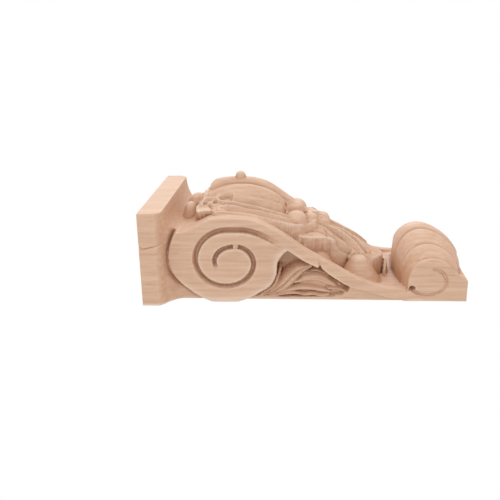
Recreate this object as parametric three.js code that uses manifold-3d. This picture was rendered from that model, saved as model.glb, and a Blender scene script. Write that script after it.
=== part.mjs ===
// Wood corbel: one block of wood carved into a moulded top plate, two S scrolls,
// a two tier hanging leaf, leaf fronds in the sides and a roll at the foot.
// Millimetres, +Z up. The wall is the plane Y = 0 and the front faces -Y.
import * as THREE from 'three';
import { mergeVertices } from 'three/addons/utils/BufferGeometryUtils.js';
import Module from 'manifold-3d';

// Driving dimensions
const corbelLength = 220;      // top of the plate to the foot
const plateWidth = 115;
const plateDepth = 65;         // wall to the front face of the plate
const plateFrontThick = 16;    // height of the plate's front face
const plateSideThick = 10;     // height of the flat part of the plate's ends
const plateRoundIn = 6;        // how far the rounded lower edge runs in at the ends
const coveLength = 11;         // height of the hollow below the plate
const shaftWidth = 87;         // plain width behind the scrolls
const scrollWidth = 99;        // across the faces of the big volutes
const footWidth = 89;          // across the faces of the small volutes
const leafRise = 11.6;         // the leaf's crown stands this far in front of the plate
const beadRadius = 4;
const grooveWidth = 3.4;       // spiral grooves of the volutes
const grooveDepth = 3.2;
const recessDepth = 10;        // side recess, behind the plain width
const frondThick = 7.5;        // side leaves, standing up from the recess
const overlap = 6;             // how far carved forms run into the block that carries them

// The carving is drawn in shares of the block, in percent: down the length, out from
// the wall as a share of the plate's depth, and across from the middle as a share of
// half the width over the big volutes.
const down = (percent) => corbelLength * percent / 100;
const out = (percent) => plateDepth * percent / 100;
const across = (percent) => scrollWidth / 2 * percent / 100;

// Front edge of the scrolls, down and out
const scrollFront = [
  [9, 75], [15.5, 77], [20, 86], [23.5, 91.5], [28, 92], [36.5, 87],
  [45, 69.5], [55, 47.5], [65, 28], [73.5, 16.5], [82, 12.5],
];
// Back edge of the scroll's band, from the foot up to the big volute
const bandBack = [[79.5, 0], [70, 10], [62.5, 22], [57.5, 34], [52.5, 40], [48.5, 45], [45, 57]];
const bigVolute = { down: 25.8, out: 50, radiusDown: 17.2, radiusOut: 53 };
const voluteBelly = [[41.6, 43], [41.6, 30], [39.5, 18], [36, 10], [30, 0]];
const smallVolute = { down: 89.3, out: 20.8, radiusDown: 7.4, radiusOut: 25 };
const footFrontOut = 23;
// Leaf crown on the middle line: down, and how much of the leaf's rise it stands before
// the plate's front, below zero where it lies behind that front
const crownLine = [
  [13, -60], [15.5, -12], [20, 52], [24, 88], [27.5, 100], [34.5, 88], [39.5, 56], [43, 0], [46.5, -41],
];
// Spiral grooves: the pole, and the radius at each quarter turn, in percent of the length
const bigSpiral = {
  down: 27.05, out: 45.4, start: 90, lead: [[45, 57.5], [36.5, 76], [31, 81]],
  radii: [10.8, 10.7, 8.2, 8.1, 5.3, 4.7], lastShare: 0.4,
};
const smallSpiral = {
  down: 88.8, out: 21, start: 205, lead: [],
  radii: [5.2, 4, 4.6, 4.3], lastShare: 0.2,
};

// Lobes of the front leaf: ends as [down, across], half width at each end in percent of
// the length, height at each end as percent out, how far each side rounds down, and how
// steeply the wall falls beyond it. A lobe with a crown hangs that far below the crown line.
const leafLobes = [
  { name: 'middle strap', from: [20.6, 0], to: [45, 0], wide: [2.4, 2.2], crown: 0, puff: 2, wall: 3 },
  { name: 'crown pad', from: [23.5, 22], to: [41.5, 21], wide: [4.4, 3.6], crown: 5.5, puff: 17, wall: 2 },
  { name: 'root', from: [16, 5], to: [20, 14], wide: [6.2, 6.6], high: [95, 103], puff: 7, wall: 3 },
  { name: 'root curl', from: [12.5, 15], to: [13, 16], wide: [2.1, 2.1], high: [92, 92], puff: 8, wall: 3 },
  { name: 'upper ear', from: [19.5, 57], to: [24, 64], wide: [4.6, 5], high: [95, 96], puff: 4, wall: 2 },
  { name: 'inner vein', from: [25, 43], to: [43.5, 39], wide: [1.6, 1.6], high: [101, 86], puff: 3, wall: 2 },
  { name: 'blade', from: [24, 62], to: [42.5, 58], wide: [5.6, 4.6], high: [96, 83.5], puff: 2.5, wall: 2 },
  { name: 'middle vein', from: [24, 60], to: [43.5, 52], wide: [1.3, 1.3], high: [99, 87], puff: 3, wall: 2 },
  { name: 'rim', from: [22, 80], to: [41, 77], wide: [1.5, 1.5], high: [94, 84], puff: 2, wall: 2 },
  { name: 'rim turn', from: [41, 77], to: [49, 57], wide: [1.5, 1.5], high: [84, 76], puff: 2, wall: 1 },
  { name: 'side tip', from: [45, 30], to: [48, 38], wide: [4.4, 4.2], high: [87, 81], puff: 6, wall: 1 },
  { name: 'middle tip', from: [46, 0], to: [49.6, 0], wide: [3.4, 3], high: [92, 88], puff: 6, wall: 2 },
  { name: 'tip curl', from: [54, 0], to: [57, 0], wide: [3, 2.8], high: [76, 74], puff: 7, wall: 2.4 },
  { name: 'tip wing', from: [52, 18], to: [53, 34], wide: [2.8, 2.4], high: [74, 70], puff: 5, wall: 1.6 },
  { name: 'lower root', from: [51, 22], to: [57, 28], wide: [6.6, 6], high: [67, 61], puff: 2, wall: 1 },
  { name: 'lower side', from: [57, 40], to: [66.6, 43], wide: [3, 3.4], high: [63, 39], puff: 8, wall: 2 },
  { name: 'lower side vein', from: [55.5, 22], to: [70, 20], wide: [2, 2], high: [66, 37], puff: 5, wall: 2 },
  { name: 'lower middle', from: [56, 0], to: [73, 0], wide: [3.6, 2.2], high: [66, 33], puff: 6, wall: 3 },
];

// Recess in the side, as [down, out]
const recessOutline = [
  [36, 9], [41.6, 22], [41.6, 43], [45, 57], [52.5, 40], [57.5, 34], [62.5, 22], [69, 10], [64, 5], [34, 5],
];
// Fronds in that recess: a middle line as [down, out], and the widest half width
const sideFronds = [
  { line: [[33, 5], [40, 14], [47.5, 38]], wide: 3 },
  { line: [[39, 10], [49, 29], [58, 27]], wide: 2.6 },
  { line: [[40, 9], [51, 18], [60, 15]], wide: 2.2 },
  { line: [[36, 6], [48, 8], [61.5, 11]], wide: 1.9 },
];

// Roll at the foot, from its ends to the middle: each cushion runs across from and to, and
// swells from a step to its full radius, both in percent of the length
const rollCushions = [
  { from: 81, to: 50, step: 7.45, radius: 9.5 },
  { from: 50, to: 12, step: 9.8, radius: 12.1 },
  { from: 12, to: 0, step: 12.3, radius: 12.4 },
];
const rollFlat = 0.2;          // share by which the widest ring is drawn in on its upper side
const beadAt = 29.2;           // down

// Fineness of the faceted surface
const reliefRows = 76;
const reliefColumns = 34;
const mouldingRows = 12;
const arcSteps = 28;
const spiralStep = 15;         // degrees
const rollSides = 36;
const cushionSteps = 3;
const frondSides = 10;
const frondRings = 12;
const beadSides = 14;
const beadRings = 10;
const shortestEdge = 0.05;     // mm

// Places worked out from the dimensions
const topZ = corbelLength / 2;
const coveEnd = plateFrontThick + coveLength;
const halfShaft = shaftWidth / 2;
const deepest = plateDepth + leafRise + 2 * beadRadius;

const wasm = await Module();
wasm.setup();

const clamp = (value) => Math.min(1, Math.max(0, value));
const mix = (from, to, share) => from + (to - from) * share;
const place = (a, d, h) => new THREE.Vector3(d, -h, topZ - a);

// Smooth height at x on a curve through points that run in x.
function heightAt(points, x) {
  const last = points.length - 1;
  if (x <= points[0][0]) return points[0][1];
  if (x >= points[last][0]) return points[last][1];
  let i = 0;
  while (x > points[i + 1][0]) i += 1;
  const before = points[Math.max(0, i - 1)];
  const after = points[Math.min(last, i + 2)];
  const [p, q] = [points[i], points[i + 1]];
  const span = q[0] - p[0];
  const share = (x - p[0]) / span;
  const slopeP = (q[1] - before[1]) / (q[0] - before[0]) * span;
  const slopeQ = (after[1] - p[1]) / (after[0] - p[0]) * span;
  const s2 = share * share;
  const s3 = s2 * share;
  return (2 * s3 - 3 * s2 + 1) * p[1] + (s3 - 2 * s2 + share) * slopeP
    + (3 * s2 - 2 * s3) * q[1] + (s3 - s2) * slopeQ;
}

const scrollFrontAt = (a) => out(heightAt(scrollFront, a / corbelLength * 100));
const crownAt = (a) => plateDepth + leafRise * heightAt(crownLine, a / corbelLength * 100) / 100;

// Half width over the scrolls' faces: it narrows from the big volutes to the small ones.
function scrollHalfAt(a) {
  const share = clamp((a - down(bigVolute.down)) / (down(smallVolute.down) - down(bigVolute.down)));
  return mix(scrollWidth, footWidth, share) / 2;
}

function lobeHeight(lobe, a, c) {
  const [fromA, fromC] = [down(lobe.from[0]), across(lobe.from[1])];
  const [toA, toC] = [down(lobe.to[0]), across(lobe.to[1])];
  const [runA, runC] = [toA - fromA, toC - fromC];
  const share = clamp(((a - fromA) * runA + (c - fromC) * runC) / (runA * runA + runC * runC));
  const away = Math.hypot(a - fromA - runA * share, c - fromC - runC * share);
  const wide = down(mix(lobe.wide[0], lobe.wide[1], share));
  const inside = Math.min(1, away / wide);
  const top = lobe.crown === undefined
    ? out(mix(lobe.high[0], lobe.high[1], share))
    : crownAt(fromA + runA * share) - out(lobe.crown);
  return top - out(lobe.puff) * inside ** 2 - Math.max(0, away - wide) * lobe.wall;
}

function frontHeight(a, d) {
  const lobes = leafLobes.map((lobe) => lobeHeight(lobe, a, Math.abs(d)));
  const foot = a > down(smallVolute.down) ? out(footFrontOut) : 0;
  return Math.max(scrollFrontAt(a), foot, ...lobes);
}

function toManifold(geometry) {
  const bare = geometry.clone();
  bare.deleteAttribute('normal');
  bare.deleteAttribute('uv');
  const merged = mergeVertices(bare, 1e-4);
  const mesh = new wasm.Mesh({
    numProp: 3,
    vertProperties: new Float32Array(merged.attributes.position.array),
    triVerts: new Uint32Array(merged.index.array),
  });
  return new wasm.Manifold(mesh);
}

function moveVertices(geometry, moved) {
  const points = geometry.attributes.position;
  const point = new THREE.Vector3();
  for (let i = 0; i < points.count; i += 1) {
    const to = moved(point.fromBufferAttribute(points, i));
    points.setXYZ(i, to.x, to.y, to.z);
  }
  return geometry;
}

// An outline of [down, out] points in mm, carried across the part from one side to the other.
function slab(outline, fromD, toD) {
  const shape = new THREE.Shape(outline.map(([a, h]) => new THREE.Vector2(a, h)));
  const geometry = new THREE.ExtrudeGeometry(shape, { depth: toD - fromD, bevelEnabled: false });
  return moveVertices(geometry, (p) => place(p.x, toD - p.z, p.y));
}

// Top plate with a rounded lower edge at its ends and a hollow below it.
function plate() {
  const box = new THREE.BoxGeometry(2, 1, 1, 1, 1, mouldingRows + 1);
  return moveVertices(box, (p) => {
    const row = Math.round((0.5 - p.z) * (mouldingRows + 1));
    const first = plateSideThick;
    const a = row === 0 ? 0 : mix(first, coveEnd, (row - 1) / mouldingRows);
    const round = clamp((a - first) / (plateFrontThick - first));
    const hollow = clamp((a - plateFrontThick) / coveLength);
    const arrisHalf = plateWidth / 2 - plateRoundIn;
    const half = hollow > 0
      ? mix(arrisHalf, halfShaft, Math.sin(hollow * Math.PI / 2))
      : plateWidth / 2 - plateRoundIn * round ** 2;
    const front = mix(plateDepth, scrollFrontAt(coveEnd), Math.sqrt(1 - (1 - hollow) ** 2));
    return place(a, p.x * half, p.y < 0 ? front : 0);
  });
}

// The shaft with the leaf carved on its front.
function shaft() {
  const box = new THREE.BoxGeometry(shaftWidth, 1, 1, reliefColumns, 1, reliefRows);
  const start = plateFrontThick - overlap;
  return moveVertices(box, (p) => {
    const a = mix(start, corbelLength, 0.5 - p.z);
    const front = a < plateFrontThick ? scrollFrontAt(a) : frontHeight(a, p.x);
    return place(a, p.x, p.y < 0 ? front : 0);
  });
}

function ellipsePoint(volute, degrees) {
  const angle = degrees * Math.PI / 180;
  return [
    down(volute.down + volute.radiusDown * Math.cos(angle)),
    out(volute.out + volute.radiusOut * Math.sin(angle)),
  ];
}

// Outline of one S scroll: big volute, band, small volute and the foot.
function scrollOutline() {
  const points = [];
  const leftEdge = { from: 250, to: 148 };
  for (let i = 0; i <= arcSteps; i += 1) {
    const [a, h] = ellipsePoint(bigVolute, mix(leftEdge.from, leftEdge.to, i / arcSteps));
    points.push([a, Math.max(0, h)]);
  }
  const frontStart = points[points.length - 1][0];
  const frontEnd = down(smallVolute.down - smallVolute.radiusDown);
  for (let i = 1; i <= arcSteps; i += 1) {
    const a = mix(frontStart, frontEnd, i / arcSteps);
    points.push([a, scrollFrontAt(a)]);
  }
  for (let i = 0; i <= arcSteps / 2; i += 1) {
    points.push(ellipsePoint(smallVolute, mix(180, 25, i / (arcSteps / 2))));
  }
  points.push([corbelLength, out(footFrontOut)], [corbelLength, 0]);
  const behind = [...bandBack, ...voluteBelly].map(([a, h]) => [down(a), out(h)]);
  return [...points, ...behind].filter(([a, h], i, all) => {
    const [b, g] = all[(i + 1) % all.length];
    return Math.hypot(a - b, h - g) > shortestEdge;
  });
}

function scroll(side) {
  const outline = scrollOutline();
  const inner = halfShaft - recessDepth - overlap;
  const geometry = slab(outline, -scrollWidth / 2, -inner);
  moveVertices(geometry, (p) => {
    const a = topZ - p.z;
    return p.x < -inner - 0.01 ? p.setX(-scrollHalfAt(a)) : p;
  });
  return side < 0 ? toManifold(geometry) : toManifold(geometry).mirror([1, 0, 0]);
}

// Recess in the side, between the volute, the band and a strip along the wall.
function recess(side) {
  const floor = halfShaft - recessDepth;
  const outline = recessOutline.map(([a, h]) => [down(a), out(h)]);
  const cut = toManifold(slab(outline, -scrollWidth / 2 - overlap, -floor));
  return side < 0 ? cut : cut.mirror([1, 0, 0]);
}

// A leaf blade: a ball drawn out along a curve and pressed flat against the recess floor.
function frond(spec, side) {
  const floor = halfShaft - recessDepth;
  const line = new THREE.CatmullRomCurve3(spec.line.map(([a, h]) => place(down(a), -floor, out(h))));
  const ball = new THREE.SphereGeometry(1, frondSides, frondRings);
  const outward = new THREE.Vector3(-1, 0, 0);
  moveVertices(ball, (p) => {
    const share = Math.acos(clamp((p.y + 1) / 2) * 2 - 1) / Math.PI;
    const along = line.getTangentAt(clamp(share));
    const sideways = outward.clone().cross(along);
    return line.getPointAt(clamp(share))
      .addScaledVector(sideways, p.x * down(spec.wide))
      .addScaledVector(outward, p.z * frondThick);
  });
  const solid = toManifold(ball);
  return side < 0 ? solid : solid.mirror([1, 0, 0]);
}

// Middle line of a spiral groove, from its lead in to its inner end, in mm.
function spiralLine(spiral) {
  const points = spiral.lead.map(([a, h]) => [down(a), out(h)]);
  const quarters = spiral.radii.length - 1 + spiral.lastShare;
  const steps = Math.round(quarters * 90 / spiralStep);
  const table = spiral.radii.map((radius, i) => [i, down(radius)]);
  for (let i = 0; i <= steps; i += 1) {
    const quarter = i / steps * quarters;
    const angle = (spiral.start + quarter * 90) * Math.PI / 180;
    const radius = heightAt(table, quarter);
    points.push([down(spiral.down) + radius * Math.cos(angle), out(spiral.out) + radius * Math.sin(angle)]);
  }
  return points;
}

function spiralGroove(spiral, side) {
  const line = spiralLine(spiral);
  const [left, right] = [[], []];
  line.forEach(([a, h], i) => {
    const [b, g] = line[Math.max(0, i - 1)];
    const [c, k] = line[Math.min(line.length - 1, i + 1)];
    const length = Math.hypot(c - b, k - g);
    const [na, nh] = [-(k - g) / length * grooveWidth / 2, (c - b) / length * grooveWidth / 2];
    left.push([a + na, h + nh]);
    right.unshift([a - na, h - nh]);
  });
  const geometry = slab([...left, ...right], -scrollWidth, -1);
  moveVertices(geometry, (p) => (p.x > -2 ? p.setX(grooveDepth - scrollHalfAt(topZ - p.z)) : p));
  const cut = toManifold(geometry);
  return side < 0 ? cut : cut.mirror([1, 0, 0]);
}

// Roll at the foot, turned about the small volute's middle and flatter on its upper side.
function roll() {
  const rim = down(smallVolute.radiusDown);
  const face = footWidth / 2 - 0.5;
  const half = [new THREE.Vector2(0, face), new THREE.Vector2(rim, face)];
  rollCushions.forEach((cushion) => {
    for (let i = 0; i <= cushionSteps; i += 1) {
      const share = i / cushionSteps;
      const radius = mix(down(cushion.step), down(cushion.radius), Math.sin(share * Math.PI / 2));
      half.push(new THREE.Vector2(radius, across(mix(cushion.from, cushion.to, share))));
    }
  });
  const other = half.slice(0, -1).reverse().map((p) => new THREE.Vector2(p.x, -p.y));
  const lathe = new THREE.LatheGeometry([...half, ...other].reverse(), rollSides);
  const widest = down(rollCushions[2].radius);
  return moveVertices(lathe, (p) => {
    const grown = clamp((Math.hypot(p.x, p.z) - rim) / (widest - rim));
    const drawnIn = p.x < 0 ? 1 - rollFlat * grown : 1;
    return place(down(smallVolute.down) + p.x * drawnIn, p.y, out(smallVolute.out) + p.z);
  });
}

function bead() {
  const a = down(beadAt);
  const ball = new THREE.SphereGeometry(beadRadius, beadSides, beadRings);
  return moveVertices(ball, (p) => p.add(place(a, 0, crownAt(a) + beadRadius / 3)));
}

function blank() {
  const box = new THREE.BoxGeometry(plateWidth, deepest, corbelLength);
  return moveVertices(box, (p) => p.setY(p.y - deepest / 2));
}

function carve() {
  const sides = [-1, 1];
  let body = toManifold(plate()).add(toManifold(shaft())).add(toManifold(roll()));
  sides.forEach((side) => {
    body = body.add(scroll(side)).subtract(recess(side));
    sideFronds.forEach((spec) => {
      body = body.add(frond(spec, side));
    });
    body = body.subtract(spiralGroove(bigSpiral, side)).subtract(spiralGroove(smallSpiral, side));
  });
  return body.add(toManifold(bead())).intersect(toManifold(blank()));
}

function toGeometry(manifold) {
  const { vertProperties, triVerts } = manifold.getMesh();
  const geometry = new THREE.BufferGeometry();
  geometry.setAttribute('position', new THREE.Float32BufferAttribute(vertProperties, 3));
  geometry.setIndex(new THREE.BufferAttribute(triVerts, 1));
  geometry.computeVertexNormals();
  return geometry;
}

const sandedWood = new THREE.MeshStandardMaterial({ color: '#d9b494', roughness: 0.7, metalness: 0 });
const corbel = new THREE.Mesh(toGeometry(carve()), sandedWood);
corbel.name = 'corbel';

const part = new THREE.Group();
part.add(corbel);

export default part;
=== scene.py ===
import math
import bpy
import bmesh
import numpy as np
from mathutils import Matrix, Vector


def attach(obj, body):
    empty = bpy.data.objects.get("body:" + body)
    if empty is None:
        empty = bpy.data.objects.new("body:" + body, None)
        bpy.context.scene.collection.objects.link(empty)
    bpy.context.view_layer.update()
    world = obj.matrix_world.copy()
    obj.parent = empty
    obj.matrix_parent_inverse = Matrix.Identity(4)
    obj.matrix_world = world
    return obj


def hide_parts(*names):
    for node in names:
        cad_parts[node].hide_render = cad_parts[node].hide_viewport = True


# Wood corbel, carved from one block of pale rubberwood and left bare.
# It is drawn in mm as a, down the length from the plate's top; d, across from the middle;
# and h, out from the wall. In the scene x = d, y = -h and z = 110 - a.

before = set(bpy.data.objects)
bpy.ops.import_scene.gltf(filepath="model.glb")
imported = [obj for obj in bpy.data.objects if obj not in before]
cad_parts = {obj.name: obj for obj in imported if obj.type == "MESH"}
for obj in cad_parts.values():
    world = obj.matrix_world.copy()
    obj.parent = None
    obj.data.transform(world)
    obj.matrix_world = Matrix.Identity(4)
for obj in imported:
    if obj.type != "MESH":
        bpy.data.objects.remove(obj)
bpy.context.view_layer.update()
print("stage: frame loaded")


def smoothStep(x):
    x = np.clip(x, 0, 1)
    return x * x * (3 - 2 * x)


def mix(low, high, share):
    return low + (high - low) * share


def curveAt(points, x):
    # height at x of a smooth line through points that run in x
    px = np.array([p[0] for p in points], float)
    py = np.array([p[1] for p in points], float)
    slope = np.gradient(py, px)
    x = np.clip(x, px[0], px[-1])
    i = np.clip(np.searchsorted(px, x) - 1, 0, len(px) - 2)
    span = px[i + 1] - px[i]
    t = (x - px[i]) / span
    return ((2 * t**3 - 3 * t**2 + 1) * py[i] + (t**3 - 2 * t**2 + t) * span * slope[i]
            + (3 * t**2 - 2 * t**3) * py[i + 1] + (t**3 - t**2) * span * slope[i + 1])


def smoothLine(points, steps=6):
    # the same points joined by a rounded line
    p = np.array(points, float)
    p = np.vstack([2 * p[0] - p[1], p, 2 * p[-1] - p[-2]])
    t = np.linspace(0, 1, steps, endpoint=False)[:, None]
    parts = []
    for k in range(1, len(p) - 2):
        a, b, c, d = p[k - 1], p[k], p[k + 1], p[k + 2]
        parts.append(0.5 * (2 * b + (c - a) * t + (2 * a - 5 * b + 4 * c - d) * t**2
                            + (3 * b - a - 3 * c + d) * t**3))
    return np.vstack(parts + [p[-2:-1]])


def nearLine(line, x, y):
    # distance to a line of points, the side of it (left is positive), the nearest point
    # on it and how far along the line that is, from 0 to 1
    line = np.asarray(line, float)
    steps = np.linalg.norm(np.diff(line, axis=0), axis=1)
    start = np.concatenate([[0], np.cumsum(steps)])
    best = np.full(x.shape, 1e9)
    side, along = np.ones(x.shape), np.zeros(x.shape)
    nearX, nearY = x.copy(), y.copy()
    for k in range(len(line) - 1):
        run = line[k + 1] - line[k]
        t = ((x - line[k][0]) * run[0] + (y - line[k][1]) * run[1]) / (run @ run)
        t = np.clip(t, 0, 1)
        qx, qy = line[k][0] + t * run[0], line[k][1] + t * run[1]
        away = np.hypot(x - qx, y - qy)
        hit = away < best
        cross = run[0] * (y - line[k][1]) - run[1] * (x - line[k][0])
        best = np.where(hit, away, best)
        side = np.where(hit, np.sign(cross), side)
        along = np.where(hit, (start[k] + t * steps[k]) / start[-1], along)
        nearX, nearY = np.where(hit, qx, nearX), np.where(hit, qy, nearY)
    return best, side, nearX, nearY, along


def insideOf(polygon, x, y):
    inside = np.zeros(x.shape, bool)
    for k in range(len(polygon)):
        ax, ay = polygon[k - 1]
        bx, by = polygon[k]
        if ay == by:
            continue
        crosses = (ay > y) != (by > y)
        inside ^= crosses & (x < (bx - ax) * (y - ay) / (by - ay) + ax)
    return inside


# The grid that the carving is made on: stretches of rows down the length and of columns across
# half the front (from, to, how many), and the rows up each side and across the back
grid = {
    "stations": [(0, 1, 4), (1, 15, 12), (15, 27, 20), (27, 112, 132), (112, 180, 84), (180, 220, 56)],
    "columns": [(0, 5.9, 9), (5.9, 6.1, 1), (6.1, 24.9, 28), (24.9, 25.1, 1), (25.1, 40.1, 22),
                (40.1, 40.3, 1), (40.3, 43.6, 5), (43.6, 44.5, 2)],
    "sideRows": 84, "backRows": 6,
    "snapReach": 1.3,           # points this near to a carved line are drawn to it
    "snapRun": 0.3,             # those outside it stop this far away, at the foot of the wall
    "sharpAngle": 38,           # edges that turn by more are shaded sharp, in degrees
}


def ramp(x, at, run):
    # rises softly from 0 at a place to 1 a run further on; a negative run rises the other way
    return smoothStep((x - at) / run)


def spread(stretches, end):
    # places along a line, evenly spaced within each stretch
    parts = [np.linspace(low, high, count, endpoint=False) for low, high, count in stretches]
    return np.concatenate(parts + [[end]])


def snapTo(x, y, signed, nearX, nearY, free):
    # grid points on each side of a line are drawn to it, so that a carved edge is crisp
    reach, run = grid["snapReach"], grid["snapRun"]
    cross = np.zeros(x.shape, bool)
    for axis in (0, 1):
        one = [slice(None), slice(None)]
        two = [slice(None), slice(None)]
        one[axis], two[axis] = slice(0, -1), slice(1, None)
        one, two = tuple(one), tuple(two)
        change = (signed[one] >= 0) != (signed[two] >= 0)
        close = (np.abs(signed[one]) < reach) & (np.abs(signed[two]) < reach)
        cross[one] |= change & close
        cross[two] |= change & close
    cross &= free
    away = np.maximum(np.abs(signed), 1e-6)
    nx, ny = (x - nearX) / away, (y - nearY) / away
    low = signed < 0
    toX = np.where(low, nearX + nx * run, nearX)
    toY = np.where(low, nearY + ny * run, nearY)
    signed = np.where(cross, np.where(low, -run, 0.0), signed)
    return np.where(cross, toX, x), np.where(cross, toY, y), signed, free & ~cross


def ovalAway(oval, x, y):
    # distance from an oval's middle, 1 at its rim
    return np.hypot((x - oval["at"][0]) / oval["reach"][0], (y - oval["at"][1]) / oval["reach"][1])


# The block's main forms, in mm
corbel = {
    "length": 220.0,
    "plateHalf": 57.5, "plateOut": 65.0, "plateSide": 10.0, "plateFront": 16.0, "plateRound": 6.0,
    "coveEnd": 27.0, "coveOut": 49.2,           # where the hollow under the plate ends
    "shaftHalf": 43.5, "recessHalf": 33.5,
    "scrollHalf": 49.5, "footHalf": 44.5,       # half width over the big and the small volutes
    "voluteAt": 56.8, "footVoluteAt": 196.5, "footVoluteOut": 13.5, "footRadius": 16.2,
    "rollAt": 180.3,                            # the scroll's front meets the foot volute here
    "footEndAt": 211.0, "footEndOut": (21.0, 14.8),     # slope past the foot volute
    "edgeRound": 0.9,                           # worn arrises
    "beadAt": 64.2, "beadRadius": 3.7, "beadOut": 77.4,
}
# Lines of the side as (a, h): the scroll's front, the big volute's left and lower outline, and
# the back of the band from there to the foot, with the chip that is split off it
scrollFront = [(19.8, 48.7), (24, 49.2), (29, 50.3), (34, 52.2), (40, 55.5), (44, 57.6), (51.7, 59.5),
               (61.6, 59.6), (80, 56.4), (87.3, 52.8), (99, 45.6), (107.2, 39.2), (121, 31),
               (134.2, 23.2), (143, 18.3), (154.3, 12.9), (161.6, 10.6), (169.6, 9.1), (180.3, 8.2)]
voluteLeft = [(24.4, 53), (23.6, 50.4), (21.6, 46.5), (19.1, 39.4), (18, 32.3), (18.9, 23.6), (23.3, 16.3),
              (28.5, 11.1), (35.2, 5.9), (41, 2.4), (46, 0.3), (50, -1)]
voluteBelly = [(62, -1), (66, 0.3), (74.4, 3.4), (79.6, 6.6), (87, 11.5), (91, 19), (92, 28), (96, 34.4)]
bandBack = [(99.2, 36.8), (103.9, 33.4), (107.9, 30.4), (112, 28), (116, 26), (119.6, 24.2),
            (120.6, 26.6), (122.4, 23.4), (127.5, 19), (131.6, 16.2), (136.4, 12.9), (142.6, 9.9),
            (154.9, 6.2), (168.6, 1.9), (176, 0.6), (181, -1)]


def frontEdgeAt(a):
    # height of the scroll's front arris
    v = corbel
    hollow = np.clip((a - v["plateFront"]) / (v["coveEnd"] - v["plateFront"]), 0, 1)
    cove = mix(v["plateOut"], v["coveOut"], np.sqrt(1 - (1 - hollow) ** 2))
    scroll = curveAt(scrollFront, a)
    x = np.clip(a - v["footVoluteAt"], -v["footRadius"], v["footRadius"])
    ring = v["footVoluteOut"] + np.sqrt(v["footRadius"] ** 2 - x ** 2)
    slope = mix(*v["footEndOut"], (a - v["footEndAt"]) / (v["length"] - v["footEndAt"]))
    foot = np.where(a < v["footEndAt"], ring, slope)
    below = np.where(a < v["rollAt"], scroll, foot)
    return np.where(a < v["coveEnd"], np.maximum(cove, scroll), below)


def scrollFaceAt(a):
    v = corbel
    share = np.clip((a - v["voluteAt"]) / (v["footVoluteAt"] - v["voluteAt"]), 0, 1)
    return mix(v["scrollHalf"], v["footHalf"], share)


def coveHalfAt(a):
    # half width of the plate, the hollow below it and the plain shaft
    v = corbel
    rounding = np.clip((a - v["plateSide"]) / (v["plateFront"] - v["plateSide"]), 0, 1)
    hollow = np.clip((a - v["plateFront"]) / (v["coveEnd"] - v["plateFront"]), 0, 1)
    arris = v["plateHalf"] - v["plateRound"]
    return np.where(hollow > 0, mix(arris, v["shaftHalf"], np.sin(hollow * math.pi / 2)),
                    v["plateHalf"] - v["plateRound"] * rounding ** 2)


# Spiral grooves in the scrolls' sides. The big one runs in along the band and then turns round
# its pole, with a radius for each quarter turn; the foot's follows a line. The outer slope is
# given at the groove's start and end, the inner edge is a steep wall, and the groove fades in
# over a share of its length.
bigSpiral = {
    "pole": (59.5, 29.5), "radii": [21.2, 22.4, 17.1, 15.8, 9.5, 9.7, 9.4], "startAngle": 90,
    "lastQuarter": 0.4,         # share of the last quarter turn that is cut
    "lead": [(98.4, 36.8), (92.5, 40.8), (87.2, 43.9), (80.6, 47.2), (74, 49.6), (67.4, 50.8)],
    "outerSlope": (3.9, 1.9), "innerEdge": 1.2, "deep": 3.8, "fade": 0.16,
}
footSpiral = {
    "line": [(194.9, 22.9), (201.7, 20.7), (205, 15.5), (204.4, 10.4), (199.9, 6.6), (194, 5.3),
             (187.2, 6.3), (183.4, 8.9), (181.3, 10.3)],
    "outerSlope": (1.8, 1.8), "innerEdge": 0.5, "deep": 2.6, "fade": 0.1,
    "pit": {"at": (183.2, 9.2), "reach": (1.7, 1.36), "deep": 4.5},     # where the groove ends
}
groove = {
    "floor": 1.3,               # the flat floor starts this far outside the groove's line
    "hollowed": 1.3,            # power that hollows the outer slope
    "tail": 0.03,               # share of the length over which the groove ends
}
# The rest of the side. Ramps are written as where they start and their run.
sideCarving = {
    "wornDeep": 0.45, "wornWide": 1.1,          # rubbed rim of the scroll's face
    # wood standing a little higher before the band's chip: its rims across, its ends along a
    "slabRise": 1.04, "slabAcross": [(0, 0.4), (8, -4)], "slabFrom": (98, 16), "slabTo": (120.2, -0.5),
    "slabLean": 0.2,
    "gapDeep": 3.4, "gapAway": 1.4, "gapWide": 1.3, "gapTo": (44, -10),     # cut round the big volute
    # past here a strip along the back edge stands below the recess: its height over a, its wall
    "recessFrom": 70, "stripWall": 0.9,
    "strip": ([70, 78, 90, 120, 134, 140, 144, 172], [1.2, 1.8, 2.0, 1.9, 2.0, 6, 20, 30]),
    "frondSteep": 12, "frondRise": 0.7, "veinWide": 0.7,
    "behindBand": (-7.5, 0.4), "bandInside": 41.2,      # the recess stops behind the band's front
}
# Raised floors in the recess: ramps along a and h, and how high they are
recessBeds = [((99, 10), (24, -6), 6.2), ((94, -8), (12, -6), 5)]
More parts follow.
